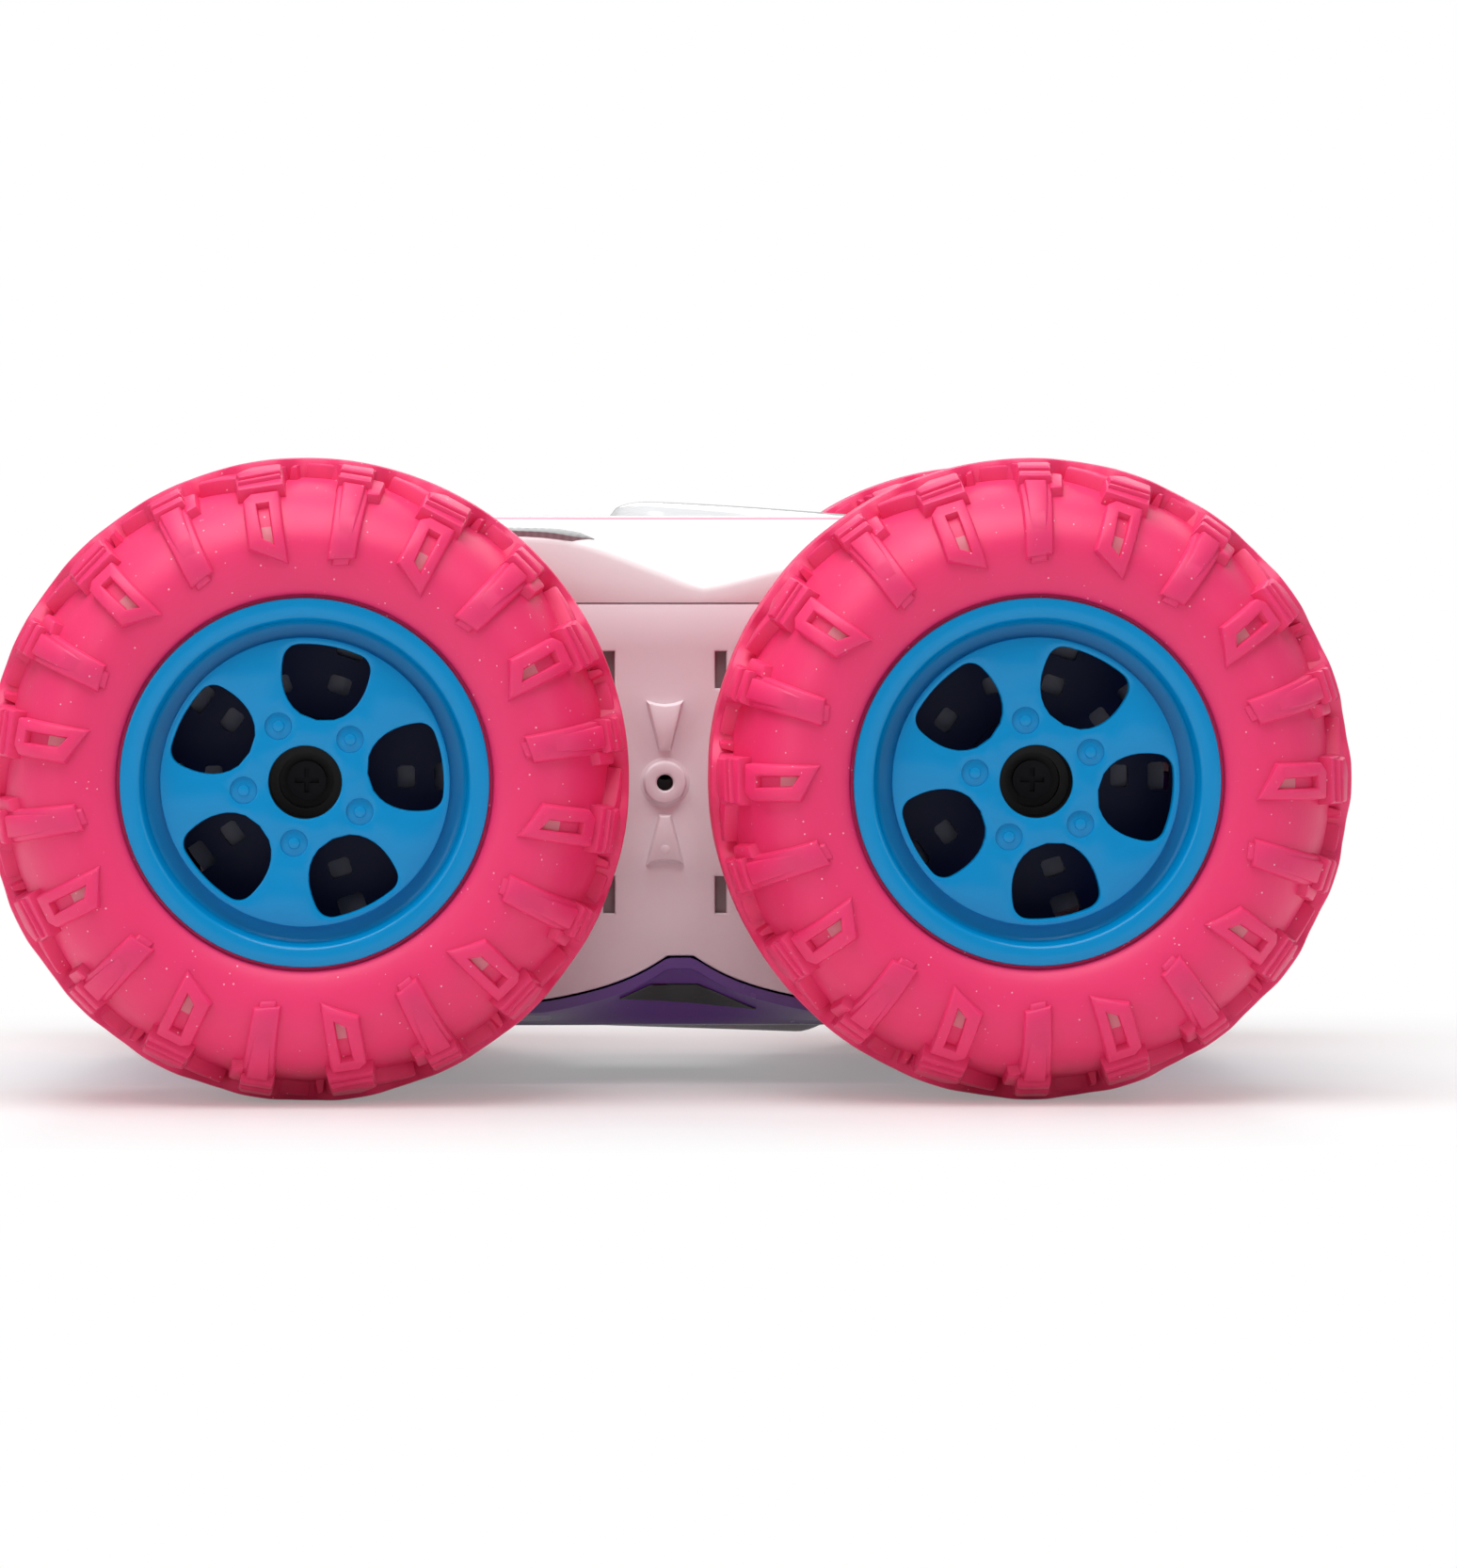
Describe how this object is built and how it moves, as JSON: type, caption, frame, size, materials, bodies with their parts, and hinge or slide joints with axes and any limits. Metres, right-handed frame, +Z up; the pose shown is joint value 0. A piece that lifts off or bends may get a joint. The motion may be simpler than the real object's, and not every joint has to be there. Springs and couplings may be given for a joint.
{
  "type": "rc stunt car",
  "caption": "Radio-controlled flip-over stunt car: balloon tyres on windowed rims, a low double-shell body and a geared drive along each side.",
  "frame": {"origin": "on the ground, midway between the wheels", "axes": "+X along the car towards its front, +Y along the axles to its left, +Z up"},
  "size_m": [0.204, 0.1632, 0.096],
  "materials": {
    "tyre_pink": "soft vinyl with fine glitter",
    "rim_blue": "gloss moulded plastic",
    "rim_navy": "dark satin plastic",
    "steel": "bright steel",
    "gear_white": "natural acetal",
    "shell_white": "gloss white moulded plastic",
    "panel_white": "satin white moulded plastic",
    "shell_purple": "gloss purple moulded plastic",
    "window_black": "gloss black",
    "canopy_grey": "gloss pale grey",
    "door_grey": "satin grey",
    "tray_black": "textured black plastic",
    "brass": "turned brass",
    "board_green": "green circuit board",
    "battery_sleeve": "blue shrink sleeve",
    "foam_black": "black foam pad",
    "lead_red": "insulated wire"
  },
  "bodies": {
    "chassis": {"side_panel_right": "panel_white", "gearbox_tray_right": "tray_black", "axle_bushes_right": "brass", "motor_right": "steel", "side_panel_left": "panel_white", "gearbox_tray_left": "tray_black", "axle_bushes_left": "brass", "motor_left": "steel", "gear_pins": "steel", "case_screws": "steel", "upper_shell": "shell_white", "lower_shell": "shell_purple", "skirt_windows": "window_black", "upper_canopy": "canopy_grey", "battery_door": "door_grey", "body_screws": "steel", "deck": "tray_black", "battery_pack": "battery_sleeve", "battery_pads": "foam_black", "circuit_board": "board_green", "motor_leads": "lead_red", "switch_body": "tray_black"},
    "wheel_front_right": {"tyre_front_right": "tyre_pink", "rim_outer_front_right": "rim_blue", "rim_inner_front_right": "rim_navy", "axle_front_right": "steel", "axle_gear_front_right": "gear_white", "wheel_screw_front_right": "steel"},
    "wheel_rear_right": {"tyre_rear_right": "tyre_pink", "rim_outer_rear_right": "rim_blue", "rim_inner_rear_right": "rim_navy", "axle_rear_right": "steel", "axle_gear_rear_right": "gear_white", "wheel_screw_rear_right": "steel"},
    "idler_front_right": {"idler_gear_front_right": "gear_white"},
    "idler_rear_right": {"idler_gear_rear_right": "gear_white"},
    "centre_right": {"centre_gear_right": "gear_white"},
    "reduction_right": {"reduction_gear_right": "gear_white"},
    "rotor_right": {"motor_shaft_right": "steel", "motor_pinion_right": "brass"},
    "wheel_front_left": {"tyre_front_left": "tyre_pink", "rim_outer_front_left": "rim_blue", "rim_inner_front_left": "rim_navy", "axle_front_left": "steel", "axle_gear_front_left": "gear_white", "wheel_screw_front_left": "steel"},
    "wheel_rear_left": {"tyre_rear_left": "tyre_pink", "rim_outer_rear_left": "rim_blue", "rim_inner_rear_left": "rim_navy", "axle_rear_left": "steel", "axle_gear_rear_left": "gear_white", "wheel_screw_rear_left": "steel"},
    "idler_front_left": {"idler_gear_front_left": "gear_white"},
    "idler_rear_left": {"idler_gear_rear_left": "gear_white"},
    "centre_left": {"centre_gear_left": "gear_white"},
    "reduction_left": {"reduction_gear_left": "gear_white"},
    "rotor_left": {"motor_shaft_left": "steel", "motor_pinion_left": "brass"},
    "switch": {"switch_knob": "tray_black"}
  },
  "joints": [
    {"name": "wheel_spin_front_right", "type": "hinge", "parent": "chassis", "child": "wheel_front_right", "pos_m": [0.054, 0, 0.048], "axis": [0, 1, 0], "continuous": true},
    {"name": "wheel_spin_rear_right", "type": "hinge", "parent": "chassis", "child": "wheel_rear_right", "pos_m": [-0.054, 0, 0.048], "axis": [0, 1, 0], "continuous": true},
    {"name": "idler_spin_front_right", "type": "hinge", "parent": "chassis", "child": "idler_front_right", "pos_m": [0.027, 0, 0.048], "axis": [0, 1, 0], "continuous": true},
    {"name": "idler_spin_rear_right", "type": "hinge", "parent": "chassis", "child": "idler_rear_right", "pos_m": [-0.027, 0, 0.048], "axis": [0, 1, 0], "continuous": true},
    {"name": "centre_spin_right", "type": "hinge", "parent": "chassis", "child": "centre_right", "pos_m": [0, 0, 0.048], "axis": [0, 1, 0], "continuous": true},
    {"name": "reduction_spin_right", "type": "hinge", "parent": "chassis", "child": "reduction_right", "pos_m": [0.01581, 0, 0.06397], "axis": [0, 1, 0], "continuous": true},
    {"name": "rotor_spin_right", "type": "hinge", "parent": "chassis", "child": "rotor_right", "pos_m": [0.02781, 0, 0.06397], "axis": [0, 1, 0], "continuous": true},
    {"name": "wheel_spin_front_left", "type": "hinge", "parent": "chassis", "child": "wheel_front_left", "pos_m": [0.054, 0, 0.048], "axis": [0, 1, 0], "continuous": true},
    {"name": "wheel_spin_rear_left", "type": "hinge", "parent": "chassis", "child": "wheel_rear_left", "pos_m": [-0.054, 0, 0.048], "axis": [0, 1, 0], "continuous": true},
    {"name": "idler_spin_front_left", "type": "hinge", "parent": "chassis", "child": "idler_front_left", "pos_m": [0.027, 0, 0.048], "axis": [0, 1, 0], "continuous": true},
    {"name": "idler_spin_rear_left", "type": "hinge", "parent": "chassis", "child": "idler_rear_left", "pos_m": [-0.027, 0, 0.048], "axis": [0, 1, 0], "continuous": true},
    {"name": "centre_spin_left", "type": "hinge", "parent": "chassis", "child": "centre_left", "pos_m": [0, 0, 0.048], "axis": [0, 1, 0], "continuous": true},
    {"name": "reduction_spin_left", "type": "hinge", "parent": "chassis", "child": "reduction_left", "pos_m": [-0.01581, 0, 0.06397], "axis": [0, 1, 0], "continuous": true},
    {"name": "rotor_spin_left", "type": "hinge", "parent": "chassis", "child": "rotor_left", "pos_m": [-0.02781, 0, 0.06397], "axis": [0, 1, 0], "continuous": true},
    {"name": "switch_slide", "type": "slide", "parent": "chassis", "child": "switch", "axis": [1, 0, 0], "range_m": [0, 0.003]}
  ],
  "couplings": [
    {"joint": "wheel_spin_rear_right", "follows": "wheel_spin_front_right", "ratio": 1},
    {"joint": "idler_spin_front_right", "follows": "wheel_spin_front_right", "ratio": -1},
    {"joint": "idler_spin_rear_right", "follows": "wheel_spin_front_right", "ratio": -1},
    {"joint": "centre_spin_right", "follows": "wheel_spin_front_right", "ratio": 1},
    {"joint": "reduction_spin_right", "follows": "wheel_spin_front_right", "ratio": 2.25},
    {"joint": "rotor_spin_right", "follows": "wheel_spin_front_right", "ratio": -6.75},
    {"joint": "wheel_spin_rear_left", "follows": "wheel_spin_front_left", "ratio": 1},
    {"joint": "idler_spin_front_left", "follows": "wheel_spin_front_left", "ratio": -1},
    {"joint": "idler_spin_rear_left", "follows": "wheel_spin_front_left", "ratio": -1},
    {"joint": "centre_spin_left", "follows": "wheel_spin_front_left", "ratio": 1},
    {"joint": "reduction_spin_left", "follows": "wheel_spin_front_left", "ratio": 2.25},
    {"joint": "rotor_spin_left", "follows": "wheel_spin_front_left", "ratio": -6.75}
  ]
}
